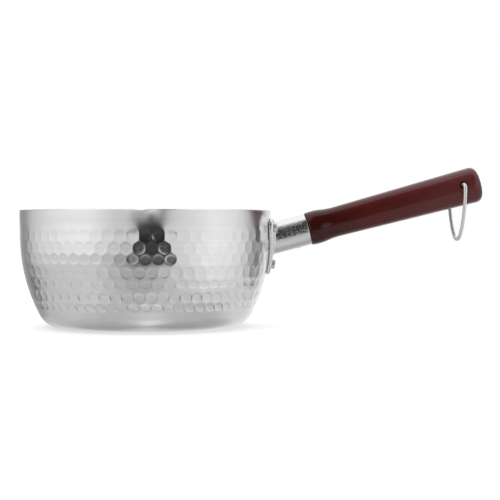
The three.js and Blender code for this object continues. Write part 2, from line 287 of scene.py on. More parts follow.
def add_node(nodes, kind, inputs=None, **settings):
    n = nodes.new(kind)
    for key, value in settings.items():
        setattr(n, key, value)
    for key, value in (inputs or {}).items():
        n.inputs[key].default_value = value
    return n


def ramp(nodes, stops):
    n = nodes.new("ShaderNodeValToRGB")
    while len(n.color_ramp.elements) < len(stops):
        n.color_ramp.elements.new(0.5)
    for element, (position, colour) in zip(n.color_ramp.elements, stops):
        element.position = position
        element.color = (*colour, 1)
    return n


def grey(level):
    return (level, level, level)


def noise(nodes, links, vector, scale, detail=3.0, rough=0.5):
    n = add_node(nodes, "ShaderNodeTexNoise", {"Scale": scale, "Detail": detail, "Roughness": rough})
    links.new(vector, n.inputs["Vector"])
    return n.outputs["Fac"]


def noise_tones(nodes, links, value, low, high):
    """Grey tones spread over the values of a noise."""
    n = ramp(nodes, [(NOISE_LOW, grey(low)), (NOISE_HIGH, grey(high))])
    links.new(value, n.inputs["Fac"])
    return n.outputs["Color"]


def noise_range(nodes, links, value, low, high):
    """Numbers spread over the values of a noise."""
    ends = {"From Min": NOISE_LOW, "From Max": NOISE_HIGH, "To Min": low, "To Max": high}
    n = add_node(nodes, "ShaderNodeMapRange", ends)
    links.new(value, n.inputs["Value"])
    return n.outputs[0]


def bump(nodes, links, height, strength, distance, normal=None):
    n = add_node(nodes, "ShaderNodeBump", {"Strength": strength, "Distance": distance})
    links.new(height, n.inputs["Height"])
    if normal:
        links.new(normal, n.inputs["Normal"])
    return n.outputs["Normal"]


def object_coordinates(nodes):
    return add_node(nodes, "ShaderNodeTexCoord").outputs["Object"]


def round_coordinates(nodes, links, coord):
    """Radius, a slow turn and height: noise in these runs in fine lines round the pan."""
    split = add_node(nodes, "ShaderNodeSeparateXYZ")
    links.new(coord, split.inputs[0])
    flat = add_node(nodes, "ShaderNodeVectorMath", {1: (1, 1, 0)}, operation="MULTIPLY")
    links.new(coord, flat.inputs[0])
    radius = add_node(nodes, "ShaderNodeVectorMath", operation="LENGTH")
    links.new(flat.outputs[0], radius.inputs[0])
    turn = add_node(nodes, "ShaderNodeMath", operation="ARCTAN2")
    links.new(split.outputs["Y"], turn.inputs[0])
    links.new(split.outputs["X"], turn.inputs[1])
    slow = add_node(nodes, "ShaderNodeMath", {1: TURN_SCALE}, operation="MULTIPLY")
    links.new(turn.outputs[0], slow.inputs[0])
    join = add_node(nodes, "ShaderNodeCombineXYZ")
    links.new(radius.outputs["Value"], join.inputs["X"])
    links.new(slow.outputs[0], join.inputs["Y"])
    links.new(split.outputs["Z"], join.inputs["Z"])
    return join.outputs[0]


def attribute(nodes, name):
    return add_node(nodes, "ShaderNodeAttribute", attribute_name=name).outputs["Fac"]


def mix_numbers(nodes, links, share, low, high):
    n = add_node(nodes, "ShaderNodeMix", data_type="FLOAT")
    for source, socket in ((share, MIX_SHARE), (low, NUMBER_A), (high, NUMBER_B)):
        links.new(source, n.inputs[socket])
    return n.outputs[0]


def multiply_colours(nodes, links, first, second, share):
    n = add_node(nodes, "ShaderNodeMix", {MIX_SHARE: share}, data_type="RGBA", blend_type="MULTIPLY")
    links.new(first, n.inputs[COLOUR_A])
    links.new(second, n.inputs[COLOUR_B])
    return n.outputs[COLOUR_OUT]


def bare_aluminium(nodes, links, bsdf, coord, streaks):
    """Tone of bare metal with faint turned streaks; returns the tone, the turned lines and a cloud."""
    bsdf.inputs["Metallic"].default_value = 1.0
    turning = round_coordinates(nodes, links, coord)
    cloud = noise(nodes, links, coord, scale=60.0, detail=5.0)
    tone = noise_tones(nodes, links, cloud, low=0.79, high=0.84)
    broad_lines = noise(nodes, links, turning, scale=500.0, detail=4.0, rough=0.6)
    broad_tone = noise_tones(nodes, links, broad_lines, low=0.8, high=1.0)
    streaked = multiply_colours(nodes, links, tone, broad_tone, streaks)
    return streaked, noise(nodes, links, turning, scale=1400.0), cloud


def outside_aluminium():
    """Bright in the hammered rows, satin in the turned bands, with painted shade in the creases between
    marks.
    """
    m, nodes, links, bsdf = material("hammered_aluminium")
    coord = object_coordinates(nodes)
    tone, fine_lines, cloud = bare_aluminium(nodes, links, bsdf, coord, streaks=0.32)
    # Painted shade: dark grey mixed into the base colour along the creases where neighbouring marks meet
    crease_shade_colour = (0.16, 0.16, 0.165, 1)
    crease_shaded = add_node(nodes, "ShaderNodeMix", {COLOUR_B: crease_shade_colour}, data_type="RGBA")
    links.new(attribute(nodes, "crease_shade"), crease_shaded.inputs[MIX_SHARE])
    links.new(tone, crease_shaded.inputs[COLOUR_A])
    links.new(crease_shaded.outputs[COLOUR_OUT], bsdf.inputs["Base Color"])
    bright = noise_range(nodes, links, cloud, low=0.08, high=0.12)
    satin = noise_range(nodes, links, cloud, low=0.18, high=0.24)
    rough = mix_numbers(nodes, links, attribute(nodes, "turned"), bright, satin)
    links.new(rough, bsdf.inputs["Roughness"])
    lines = bump(nodes, links, fine_lines, strength=0.3, distance=0.00003)
    grain = noise(nodes, links, coord, scale=900.0, detail=4.0)
    normal = bump(nodes, links, grain, strength=0.3, distance=0.00003, normal=lines)
    links.new(normal, bsdf.inputs["Normal"])
    return m


def inside_aluminium():
    """Satin all over, with deeper turned lines."""
    m, nodes, links, bsdf = material("satin_aluminium")
    coord = object_coordinates(nodes)
    tone, fine_lines, cloud = bare_aluminium(nodes, links, bsdf, coord, streaks=0.5)
    links.new(tone, bsdf.inputs["Base Color"])
    links.new(noise_range(nodes, links, cloud, low=0.3, high=0.38), bsdf.inputs["Roughness"])
    normal = bump(nodes, links, fine_lines, strength=0.5, distance=0.00003)
    links.new(normal, bsdf.inputs["Normal"])
    return m


def plain_metal(name, tone, rough, specks, peel, scale):
    """Plain metal with fine specks that are rougher than the rest, and a little orange peel."""
    m, nodes, links, bsdf = material(name)
    bsdf.inputs["Metallic"].default_value = 1.0
    coord = object_coordinates(nodes)
    stains = noise(nodes, links, coord, scale=0.3 * scale, detail=4.0)
    links.new(noise_tones(nodes, links, stains, 0.95 * tone, tone), bsdf.inputs["Base Color"])
    skin = noise(nodes, links, coord, scale, detail=2.0)
    links.new(noise_range(nodes, links, skin, rough, rough + specks), bsdf.inputs["Roughness"])
    links.new(bump(nodes, links, skin, peel, distance=0.0001), bsdf.inputs["Normal"])
    return m


def lacquered_wood():
    """Dark red lacquer over fine grain, deepest by the collar and paler towards the butt."""
    m, nodes, links, bsdf = material("lacquered_wood")
    level = add_node(nodes, "ShaderNodeMapping", {"Rotation": (0, TILT, 0)})
    links.new(object_coordinates(nodes), level.inputs["Vector"])
    stretch = add_node(nodes, "ShaderNodeMapping", {"Scale": (0.045, 1.0, 1.0)})
    links.new(level.outputs["Vector"], stretch.inputs["Vector"])
    along_grain = stretch.outputs["Vector"]
    fibre = noise(nodes, links, along_grain, scale=900.0, detail=6.0, rough=0.65)
    broad = noise(nodes, links, along_grain, scale=180.0)
    figure = add_node(nodes, "ShaderNodeMix", {MIX_SHARE: 0.45}, data_type="FLOAT")
    links.new(fibre, figure.inputs[NUMBER_A])
    links.new(broad, figure.inputs[NUMBER_B])
    grain = ramp(nodes, [(0.32, grey(0.72)), (0.5, grey(0.87)), (0.68, grey(1.0))])
    links.new(figure.outputs[0], grain.inputs["Fac"])
    split = add_node(nodes, "ShaderNodeSeparateXYZ")
    links.new(level.outputs["Vector"], split.inputs[0])
    collar_end, butt_end = ((axis_from.dot(axis_dir) + t) * MM for t in (grip_start, grip_end))
    along = add_node(nodes, "ShaderNodeMapRange", {"From Min": collar_end, "From Max": butt_end})
    links.new(split.outputs["X"], along.inputs["Value"])
    lacquer = ramp(nodes, [
        (0.1, (0.049, 0.0026, 0.0023)),
        (0.34, (0.092, 0.0094, 0.0066)),
        (0.55, (0.104, 0.0135, 0.013)),
        (0.85, (0.125, 0.024, 0.025)),
    ])
    links.new(along.outputs[0], lacquer.inputs["Fac"])
    tone = multiply_colours(nodes, links, lacquer.outputs["Color"], grain.outputs["Color"], 1.0)
    links.new(tone, bsdf.inputs["Base Color"])
    links.new(noise_range(nodes, links, fibre, low=0.24, high=0.36), bsdf.inputs["Roughness"])
    bsdf.inputs["Specular IOR Level"].default_value = 0.1
    bsdf.inputs["Coat Weight"].default_value = 0.55
    bsdf.inputs["Coat Roughness"].default_value = 0.12
    links.new(bump(nodes, links, fibre, strength=0.25, distance=0.00006), bsdf.inputs["Normal"])
    return m


hammered = outside_aluminium()
inside = inside_aluminium()
chrome = plain_metal("chromed_steel", tone=0.86, rough=0.08, specks=0.3, peel=0.25, scale=1250.0)
rivet_metal = plain_metal("rivet_aluminium", tone=0.78, rough=0.36, specks=0.15, peel=0.2, scale=1200.0)
wire_metal = plain_metal("steel_wire", tone=0.9, rough=0.42, specks=0.08, peel=0.03, scale=1500.0)
wood = lacquered_wood()

# Bowl: one closed skin, with the hammer marks beaten in row by row from the top
MARKS = 66
COARSE = 4 * MARKS
PITCH = 2 * math.pi / MARKS
FIRST_MARK = -88.3 * deg
RING_STEP = 0.52
MARKS_FROM = 13.2
MARKS_TO = 74.6
# Heights over which the hammered rows blend into the turned bands
LOW_BLEND = 2
TOP_BLEND = 3
# Places of the columns across half a mark, closer where two neighbours meet in either kind of row
HALF_MARK = [0.0, 0.03, 0.065, 0.11, 0.17, 0.25, 0.33, 0.39, 0.435, 0.47]
COLUMNS = HALF_MARK + [0.5 + c for c in HALF_MARK]
FINE = MARKS * len(COLUMNS)
fine_turns = np.array([FIRST_MARK + (m + c + 0.5) * PITCH for m in range(MARKS) for c in COLUMNS])
# Each row of marks: height, half height, width to pitch, depth, flatness, slant, share kept of
# older marks and darkness of the painted shade in the creases between neighbours
ROWS = [
    (68.0, 5.2, 1.02, 0.18, 2.8, 0.0, 0.5, 0.0),
    (59.4, 4.6, 1.02, 0.15, 3.0, 0.0, 0.4, 0.0),
    (51.8, 3.8, 0.95, 0.14, 3.2, 0.0, 0.4, 0.0),
    (42.4, 4.1, 0.94, 0.18, 4.0, 0.0, 0.4, 0.1),
    (34.3, 2.9, 0.96, 0.20, 4.5, 0.0, 0.2, 0.35),
    (25.3, 4.0, 0.95, 0.26, 4.5, 0.1, 0.1, 0.9),
    (18.1, 3.0, 0.93, 0.24, 4.5, 0.4, 0.1, 0.8),
]
# How far round a mark its blow is worked out, in half heights and in pitches
REACH_UP = 1.6
REACH_ROUND = 0.9
# Slope of the ridge that a blow leaves round its mark, and how far the top row fades out upwards
EDGE_SLOPE = 0.3
TOP_FADE = 0.8
# Play of the hammer, in millimetres round and up the wall, and as a share of the depth
PLAY_ROUND = 0.18
PLAY_UP = 0.2
PLAY_DEEP = 0.1
# Painted shade in the creases between marks: half width, half height, and its mean, least and play in
# darkness
CREASE_SHADE_HALF_W = 0.42
CREASE_SHADE_HALF_H = 1.9
CREASE_SHADE_MEAN = 0.7
CREASE_SHADE_LEAST = 0.1
CREASE_SHADE_PLAY = 0.35


def beaten_marks(heights):
    """Depth of the marks, and painted shade in the creases between them, on a grid of heights and bearings.
    """
    rng = np.random.default_rng(7)
    depth = np.zeros((len(heights), FINE))
    crease_shade = np.zeros_like(depth)
    for row, (row_z, half_h, width, deep, flat, slant, kept, dark) in enumerate(ROWS):
        r = wall_radius(row_z)
        half_w = width * r * PITCH / 2
        up = (heights - row_z) / math.cos(wall_lean(row_z))
        band = np.flatnonzero(np.abs(up) < REACH_UP * half_h)
        for mark in range(MARKS):
            side_play, rise_play, deep_play, dark_play = rng.normal(0, 1, 4)
            at = FIRST_MARK + (mark + 0.5 * (row % 2)) * PITCH
            off = (fine_turns - at + math.pi) % (2 * math.pi) - math.pi
            columns = np.flatnonzero(np.abs(off) < REACH_ROUND * PITCH)
            v = up[band][:, None] - PLAY_UP * rise_play
            u = r * off[columns][None, :] - PLAY_ROUND * side_play + slant * v
            reach = np.sqrt((u / half_w) ** 2 + (v / half_h) ** 2)
            cap = deep * (1 + PLAY_DEEP * deep_play) * (1 - reach**flat)
            if row == 0:
                cap = cap * (1 - TOP_FADE * soft(0.0, 1.0, v / half_h))
            cells = np.ix_(band, columns)
            older = depth[cells]
            edge = kept * older + EDGE_SLOPE * (reach - 1) * half_h
            depth[cells] = np.where(reach < 1, np.maximum(cap, kept * older), np.minimum(older, edge))
            # Painted shade along the crease where this mark meets its neighbour
            meeting = np.exp(-(((u - half_w) / CREASE_SHADE_HALF_W) ** 2) - (v / CREASE_SHADE_HALF_H) ** 2)
            darkness = dark * min(1, max(CREASE_SHADE_LEAST, CREASE_SHADE_MEAN + CREASE_SHADE_PLAY * dark_play))
            crease_shade[cells] = np.maximum(crease_shade[cells], darkness * meeting)
    return np.maximum(depth, 0), crease_shade


def lip_share(bearing, z):
    """How much of a lip's reach the wall has at each bearing."""
    climb = min(max(1 - (HEIGHT - z) / LIP_LENGTH, 0.0), 1.0) ** LIP_SWELL
    share = np.zeros_like(bearing)
    for at in LIP_BEARINGS:
        off = np.abs(np.arctan2(np.sin(bearing - at), np.cos(bearing - at))) * 2 * RIM_R / LIP_WIDTH
        share += climb * (0.5 + 0.5 * np.cos(np.pi * np.minimum(off, 1))) ** LIP_NARROWING
    return share


def bowl_ring(radius, z, bearing):
    share = lip_share(bearing, z)
    r = radius + LIP_REACH * share
    inward = np.maximum(wall_radius(z) - radius, 0) * (z > HEIGHT - RIM_ROUND)
    height = z - LIP_DROP * share**4 + LIP_TILT * share * inward
    return np.stack([r * np.cos(bearing), r * np.sin(bearing), height], axis=1).tolist()


def heel_profile(inset, steps):
    heel = HEEL - inset
    angles = np.linspace(0, math.pi / 2 - LOWER_LEAN, steps)
    return [(heel_flat + heel * math.sin(a), HEEL - heel * math.cos(a)) for a in angles]


def wall_profile(start, end, steps, inset=0.0):
    return [(wall_radius(z, inset), z) for z in np.linspace(start, end, steps)]


def rim_profile(steps):
    drop = [(RIM_ROUND * (1 - math.cos(a)), HEIGHT - RIM_ROUND * (1 - math.sin(a))) for a in quarter(steps)]
    outer = [(wall_radius(z) - inward, z) for inward, z in drop]
    return outer + [(wall_radius(z, WALL) + inward, z) for inward, z in reversed(drop)]


# The bowl's finishes, in the order of its materials
OUTSIDE, INSIDE = range(2)
# Radii of the rings on the flat underside and on the floor inside
FLOOR_RADII = [0.2, 20.0, 40.0, 55.0]


def bowl_shape():
    """Rings from the middle of the underside over the rim to the middle of the floor, and their looks."""
    coarse_turns = fine_turns[:: FINE // COARSE]
    rings, finishes, crease_shades, turned = [], [], [], []

    def add(finish, radius, z, turns, crease_shade=None):
        rings.append(bowl_ring(radius, z, turns))
        finishes.append(finish)
        crease_shades.extend(np.zeros(len(turns)) if crease_shade is None else crease_shade)
        above_low_band = soft(MARKS_FROM, MARKS_FROM + LOW_BLEND, z)
        below_top_band = 1 - soft(MARKS_TO - TOP_BLEND, MARKS_TO + TOP_BLEND, z)
        turned.extend(np.full(len(turns), 1 - above_low_band * below_top_band))

    below_marks = MARKS_FROM - 0.4
    above_marks = MARKS_TO + 0.3
    inside_rim = HEIGHT - 1.4
    lip_foot = HEIGHT - LIP_LENGTH
    under = [(r, 0.0) for r in FLOOR_RADII] + heel_profile(0, 14)
    under += wall_profile(under[-1][1], below_marks, 5)[1:]
    for r, z in under:
        add(OUTSIDE, r, z, coarse_turns)
    heights = np.arange(MARKS_FROM, MARKS_TO, RING_STEP)
    for z, depth, crease_shade in zip(heights, *beaten_marks(heights)):
        add(OUTSIDE, wall_radius(z) - depth, z, fine_turns, crease_shade)
    for r, z in wall_profile(above_marks, HEIGHT - RIM_ROUND, 16)[:-1] + rim_profile(6):
        add(OUTSIDE, r, z, fine_turns)
    inner = wall_profile(inside_rim, lip_foot - 1, 9, WALL) + wall_profile(lip_foot - 3, HEEL, 16, WALL)
    inner += heel_profile(WALL, 10)[::-1] + [(r, WALL) for r in reversed(FLOOR_RADII)]
    for r, z in inner:
        add(INSIDE, r, z, coarse_turns)
    # The last two points are the middles that close the loft
    return rings, finishes, crease_shades + [0.0, 0.0], turned + [1.0, 1.0]


bowl_rings, bowl_finishes, bowl_crease_shades, bowl_turned = bowl_shape()
bowl = piece("hammered_bowl", loft(bowl_rings), "pan", "pan_body", hammered, 60)
bowl.data.materials.append(inside)
ring_starts = np.cumsum([0] + [len(ring) for ring in bowl_rings])
lowest = [min(p.vertices) for p in bowl.data.polygons]
ring_of = np.searchsorted(ring_starts, lowest, side="right") - 1
bowl.data.polygons.foreach_set("material_index", [bowl_finishes[r] for r in ring_of])
for look, shares in (("crease_shade", bowl_crease_shades), ("turned", bowl_turned)):
    bowl.data.attributes.new(look, "FLOAT", "POINT").data.foreach_set("value", shares)

# Socket plate: a dished rounded triangle that follows the wall
near, far, low = (Vector(RIVETS[name]) for name in RIVETS)
plate_mid = (near + far + low) / 3


def plate_outline(inset, scale):
    spread = math.asin((TOE_MARGIN - PLATE_MARGIN) / (far - low).length)
    turn = math.atan2(far.x, far.y - low.y) - spread
    corners = (
        (far, PLATE_MARGIN - inset, -turn, math.pi / 2),
        (near, PLATE_MARGIN - inset, math.pi / 2, math.pi + turn),
        (low, TOE_MARGIN - inset, math.pi + turn, 2 * math.pi - turn),
    )
    arcs = [
        [c + Vector((r * math.cos(a), r * math.sin(a))) for a in np.linspace(start, end, 22)]
        for c, r, start, end in corners
    ]
    points = []
    for arc, following in zip(arcs, arcs[1:] + arcs[:1]):
        points += arc + [arc[-1].lerp(following[0], t) for t in np.linspace(0, 1, 14)[1:-1]]
    return [plate_mid + (p - plate_mid) * scale for p in points]


def plate_ring(inset, depth, scale=1.0):
    ring = []
    for p in plate_outline(inset, scale):
        r = wall_radius(p.y) + GAP + depth
        bearing = p.x / face_r
        ring.append((r * math.cos(bearing), r * math.sin(bearing), p.y))
    return ring


def plate_shape():
    """Rings from the middle of the back, round the turned-in edge, to the middle of the front."""
    flat_inset = 0.6 * PLATE_MARGIN
    back = PLATE_DEPTH - SHEET
    bend, inner_ease, outer_ease = 0.4, 0.12, 0.15
    scales = (0.04, 0.2, 0.4, 0.6, 0.8, 1.0)
    rings = [plate_ring(flat_inset, back, s) for s in scales]
    edge = [(SHEET + bend, back), (SHEET, back - bend), (SHEET, inner_ease)]
    edge += [(SHEET - outer_ease, 0.0), (outer_ease, 0.0), (0.0, outer_ease)]
    for a in quarter(8):
        edge.append((PLATE_ROUND * (1 - math.cos(a)), PLATE_DEPTH - PLATE_ROUND * (1 - math.sin(a))))
    rings += [plate_ring(inset, depth) for inset, depth in edge]
    return loft(rings + [plate_ring(flat_inset, PLATE_DEPTH, s) for s in reversed(scales)])


piece("pressed_plate", plate_shape(), "pan", "socket_plate", chrome, 50)


# Socket tube: its root follows the plate with a small bead, and its far end is rounded
def tube_ring(radius, along, from_plate=False, segments=96):
    ring = []
    for k in range(segments):
        a = 2 * math.pi * k / segments
        start = 0.0
        if from_plate:
            side = radius * math.cos(a)
            rise = radius * math.sin(a)
            face = wall_radius(socket_z + rise * math.cos(TILT)) + face_offset
            start = (math.sqrt(face**2 - side**2) - face_r + rise * math.sin(TILT)) / math.cos(TILT)
        ring.append(handle_point(radius, a, start + along))
    return ring


def tube_shape():
    bore = TUBE_R - TUBE_WALL
    root, straight_from, end_round = -1.2, 8, 0.5
    bead, bead_from, bead_length = 0.6, 0.3, 1.6
    rings = [tube_ring(bore, root, True), tube_ring(TUBE_R + bead, root, True)]
    for a in quarter(6):
        along = bead_from + bead_length * (1 - math.cos(a))
        rings.append(tube_ring(TUBE_R + bead * (1 - math.sin(a)), along, True))
    rings += [tube_ring(TUBE_R, t) for t in np.linspace(straight_from, TUBE_REACH - end_round, 6)]
    for a in quarter(5)[1:]:
        along = TUBE_REACH - end_round * (1 - math.sin(a))
        rings.append(tube_ring(TUBE_R - end_round * (1 - math.cos(a)), along))
    rings += [tube_ring(bore, TUBE_REACH), rings[0]]
    return loft(rings, False, False)


piece("bright_tube", tube_shape(), "pan", "socket_tube", chrome, 50)


# Rivets: round heads outside, wide flat domes inside, square to the wall
def rivet_profile():
    """Outline from the middle of the inner dome to the middle of the outer head."""
    seat_gap, face_gap = 0.1, 0.05
    crown_r, crown, tip_r, tip = 0.4 * RIVET_HEAD, 0.05, 0.02, 0.06
    dome = -WALL - GAP - RIVET_IN_H
    dome_rise = RIVET_IN_H * 0.75
    seat = -WALL - GAP + seat_gap
    face = face_offset + face_gap
    head_top = face_offset + seat_gap + RIVET_HEIGHT
    profile = [(RIVET_IN * math.sin(a), dome + dome_rise * (1 - math.cos(a)))
               for a in np.linspace(0.01, math.pi / 2, 8)]
    profile += [(RIVET_IN, seat), (RIVET_SHANK, seat), (RIVET_SHANK, face), (RIVET_HEAD, face)]
    profile += [(RIVET_HEAD - RIVET_EDGE * (1 - math.cos(a)), head_top - RIVET_EDGE * (1 - math.sin(a)))
                for a in quarter(5)]
    return profile + [(crown_r, head_top + crown), (tip_r, head_top + tip)]


def rivet_place(side, z):
    spot = Matrix.Rotation(side / face_r, 4, "Z") @ Matrix.Translation((wall_radius(z), 0, z))
    spot = spot @ Matrix.Rotation(wall_lean(z), 4, "Y")
    return lambda r, a, h: tuple(spot @ Vector((h, r * math.cos(a), r * math.sin(a))))


for name, (side, z) in RIVETS.items():
    shape = lathe(rivet_profile(), 48, rivet_place(side, z))
    piece(name + "_turned", shape, "pan", name, rivet_metal, 45)

# Wooden handle: turned outline, then the cross hole with eased mouths
# Radius of the rings that stand in for points on an axis
AXIS_R = 0.05
SHOULDER_EASE = 0.6
# How much wider the hole's mouths are, and from where to where along the hole they widen
HOLE_EASE = 0.8
HOLE_EASE_FROM = 11.6
HOLE_EASE_TO = 13.0
CUTTER_REACH = 20


def grip_profile():
    tenon_r = TUBE_R - TUBE_WALL - GAP
    tenon_end = grip_start - TENON
    shoulder = grip_start + SHOULDER_EASE
    collar = grip_start + COLLAR_AT
    waist = grip_start + WAIST_AT
    fall = waist - collar
    face = grip_end - BUTT_DOME
    butt = (BUTT_R, face - BUTT_ROUND)
    crown = (BUTT_R - BUTT_ROUND, face + 0.35 * BUTT_DOME)
    profile = [(AXIS_R, tenon_end), (tenon_r - TENON_CHAMFER, tenon_end)]
    profile += [(tenon_r, tenon_end + TENON_CHAMFER), (tenon_r, grip_start)]
    profile += curve([(SHOULDER_R - SHOULDER_EASE, grip_start), (SHOULDER_R, grip_start),
                      (SHOULDER_R, shoulder)], 5)
    profile += curve([(SHOULDER_R, shoulder), (COLLAR_R, grip_start + COLLAR_AT / 2),
                      (COLLAR_R, collar)], 8)[1:]
    profile += curve([(COLLAR_R, collar), (COLLAR_R, collar + 0.4 * fall),
                      (WAIST_R, collar + 0.5 * fall), (WAIST_R, waist)], 24)[1:]
    profile += curve([(WAIST_R, waist), butt], 44)[1:]
    profile += curve([butt, (BUTT_R, face), crown], 14)[1:]
    return profile + curve([crown, (crown[0] / 2, grip_end), (AXIS_R, grip_end)], 8)[1:]


def hole_shape():
    mouth = HOLE_R + HOLE_EASE
    widening = (HOLE_R + 0.25 * HOLE_EASE, HOLE_EASE_FROM + 0.5)
    half = [(HOLE_R, HOLE_EASE_FROM), widening]
    half += [(mouth, HOLE_EASE_TO), (mouth, CUTTER_REACH)]
    profile = [(AXIS_R, -CUTTER_REACH)] + [(r, -h) for r, h in reversed(half)]
    profile += half + [(AXIS_R, CUTTER_REACH)]
    return lathe(profile, 40, hole_point)


def bore(obj, shape):
    """Cuts a closed shape out of an object's mesh."""
    cutter = add_object("cross_hole", mesh_of("cross_hole", *shape))
    cut = obj.modifiers.new("cross_hole", "BOOLEAN")
    cut.operation = "DIFFERENCE"
    cut.solver = "EXACT"
    cut.object = cutter
    bpy.context.view_layer.update()
    bored = bpy.data.meshes.new_from_object(obj.evaluated_get(bpy.context.evaluated_depsgraph_get()))
    obj.modifiers.clear()
    obj.data = bored
    bpy.data.objects.remove(cutter)


grip = lathe(grip_profile(), 96, handle_point)
handle = piece("turned_handle", grip, "pan", "wooden_handle", wood)
bore(handle, hole_shape())
shade(handle.data, 40)


# Hanging ring: round wire swept along the bent path
def ring_path():
    """Places along the hole and below it, from one end of the wire to the other."""
    mouth = LOOP_W - ELBOW
    end = mouth - WIRE_END
    knee = 0.45 * LOOP_DROP
    toe = 0.55 * LOOP_W
    half = curve([(end, 0), (mouth, 0)], 8)
    half += curve([(mouth, 0), (LOOP_W, 0), (LOOP_W, ELBOW)], 14)[1:]
    half += curve([(LOOP_W, ELBOW), (LOOP_W, knee), (toe, LOOP_DROP), (0, LOOP_DROP)], 60)[1:]
    return np.array([(-s, d) for s, d in half] + [(s, d) for s, d in reversed(half[:-1])])


def ring_shape(sides=20):
    path = ring_path()
    along = np.gradient(path, axis=0)
    along /= np.linalg.norm(along, axis=1)[:, None]
    rings = []
    for (s, d), (ds, dd) in zip(path, along):
        centre = hole_at + hole_dir * s - UP * d
        normal = hole_dir * -dd - UP * ds
        rings.append([tuple(centre + normal * (WIRE_R * math.cos(a)) + hole_cross * (WIRE_R * math.sin(a)))
                      for a in turns_of(sides)])
    return loft(rings)


piece("bent_wire", ring_shape(), "ring", "hanging_ring", wire_metal, 50)

# The countersunk screw stays as the solid
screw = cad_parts["handle_screw"]
screw.data.materials.clear()
screw.data.materials.append(wire_metal)

# Floor: white to the camera, and it keeps the pan's shadow
FLOOR_R = 3000.0
FLOOR_SIDES = 64
FLOOR_TONE = 0.8
FLOOR_LIFT = 0.47


def floor_white():
    m, nodes, links, bsdf = material("floor_white")
    bsdf.inputs["Base Color"].default_value = (*grey(FLOOR_TONE), 1)
    bsdf.inputs["Roughness"].default_value = 0.9
    bsdf.inputs["Specular IOR Level"].default_value = 0.0
    lift = add_node(nodes, "ShaderNodeEmission", {"Strength": FLOOR_LIFT})
    seen = add_node(nodes, "ShaderNodeLightPath").outputs["Is Camera Ray"]
    lifted = add_node(nodes, "ShaderNodeAddShader")
    pick = add_node(nodes, "ShaderNodeMixShader")
    links.new(bsdf.outputs[0], lifted.inputs[0])
    links.new(lift.outputs[0], lifted.inputs[1])
    links.new(seen, pick.inputs[0])
    links.new(bsdf.outputs[0], pick.inputs[1])
    links.new(lifted.outputs[0], pick.inputs[2])
    links.new(pick.outputs[0], nodes["Material Output"].inputs["Surface"])
    return m


def add_floor():
    floor_mat = floor_white()
    rim = [(FLOOR_R * math.cos(a), FLOOR_R * math.sin(a), 0.0) for a in turns_of(FLOOR_SIDES)]
    floor = add_object("floor", mesh_of("floor", rim, [tuple(range(FLOOR_SIDES))]))
    floor.data.materials.append(floor_mat)
    floor.visible_glossy = False


add_floor()

# Light tent, seen only in reflections: side lights, pale ground and a dark camera side
# Brightness by bearing from the camera side (degrees, right is positive), listed and set against
# brightness measured on the photographed bowl
BEARINGS = [-180, -158, -148, -134, -122, -100, -75, -50, -25, -10, 5,
            20, 35, 63, 85, 100, 115, 126, 138, 150, 180]
WALLS = [1.0, 0.45, 0.32, 0.32, 0.62, 0.84, 1.0, 1.02, 0.76, 0.74, 0.72,
         0.76, 0.8, 1.02, 0.92, 0.78, 0.44, 0.22, 0.6, 0.9, 1.0]
FAR_GROUND = [0.95, 0.75, 0.6, 0.6, 0.6, 0.64, 0.69, 0.7, 0.56, 0.5, 0.48,
              0.56, 0.65, 0.77, 0.74, 0.74, 0.76, 0.78, 0.78, 0.84, 0.95]
NEAR_GROUND = [0.75, 0.5, 0.42, 0.48, 0.54, 0.54, 0.55, 0.56, 0.59, 0.61, 0.65,
               0.64, 0.6, 0.56, 0.51, 0.48, 0.47, 0.46, 0.48, 0.5, 0.75]
UNDERFOOT = [0.75, 0.5, 0.42, 0.42, 0.42, 0.5, 0.46, 0.52, 0.62, 0.78, 0.92,
             0.94, 0.68, 0.48, 0.45, 0.43, 0.42, 0.42, 0.4, 0.4, 0.75]
# Soft edges, from and to: bearings at which the tent's right side, the rest beyond the back left
# and the back right begin, and the elevation at which the ground underfoot ends
RIGHT_FROM = (-20, 30)
FRONT_FROM = (-125, -110)
BACK_RIGHT_FROM = (100, 112)
UNDERFOOT_TO_NEAR = (-64, -50)
# Elevations at which the far ground begins and is full, each on the left and on the right
NEAR_TO_FAR = ((-48, -46), (-38, -28))
# Elevations at which the walls begin and are full at the back left, and how these shift elsewhere
WALL_FOOT = -24
WALL_FULL = -12
FRONT_SHIFT = (9, 12)
RIGHT_SHIFT = (-17, -8)
BACK_RIGHT_SHIFT = 10
# How much brighter the walls are higher up, and the elevations over which they grow so
WALL_GAIN = 0.1
WALL_GAIN_FROM = (2, 20)
# Darker patches: depth, bearing and elevation, width and height
PATCHES = ((0.22, -125, -14, 14, 6), (0.22, -8, -13, 18, 8))
# Dark camera side: brightness low down and high up, its sides at the horizon, how fast these
# spread below and above it, and its soft edges
CAMERA_SIDE_LOW = 0.075
CAMERA_SIDE_HIGH = 0.022
CAMERA_SIDE_GRADE = (-13, 5)
DARK_LEFT = -4.0
DARK_RIGHT = 16.8
DARK_FOOT = (-21, -12)
DARK_EDGE = 1.5
SPREAD_BELOW = -1
SPREAD_DEPTH = 8.3
SPREAD_LEFT = 0.65
SPREAD_RIGHT = 1.15
SPREAD_ABOVE = 3
SPREAD_UP = 0.5
# Overhead lights on a ceiling one unit up: where each ends towards the camera, and where the side
# panel ends on its right
OVERHEAD_FROM = (44, 50)
CEILING = 1.1
CEILING_EDGE = (0.12, 0.2)
SIDE_PANEL = 0.8
PANEL_EDGE = (0.66, 0.78)
PANEL_SIDE = (-0.185, -0.16)
# Elevations between which a direction is carried up to that ceiling
CEILING_REACH = (3, 89.5)


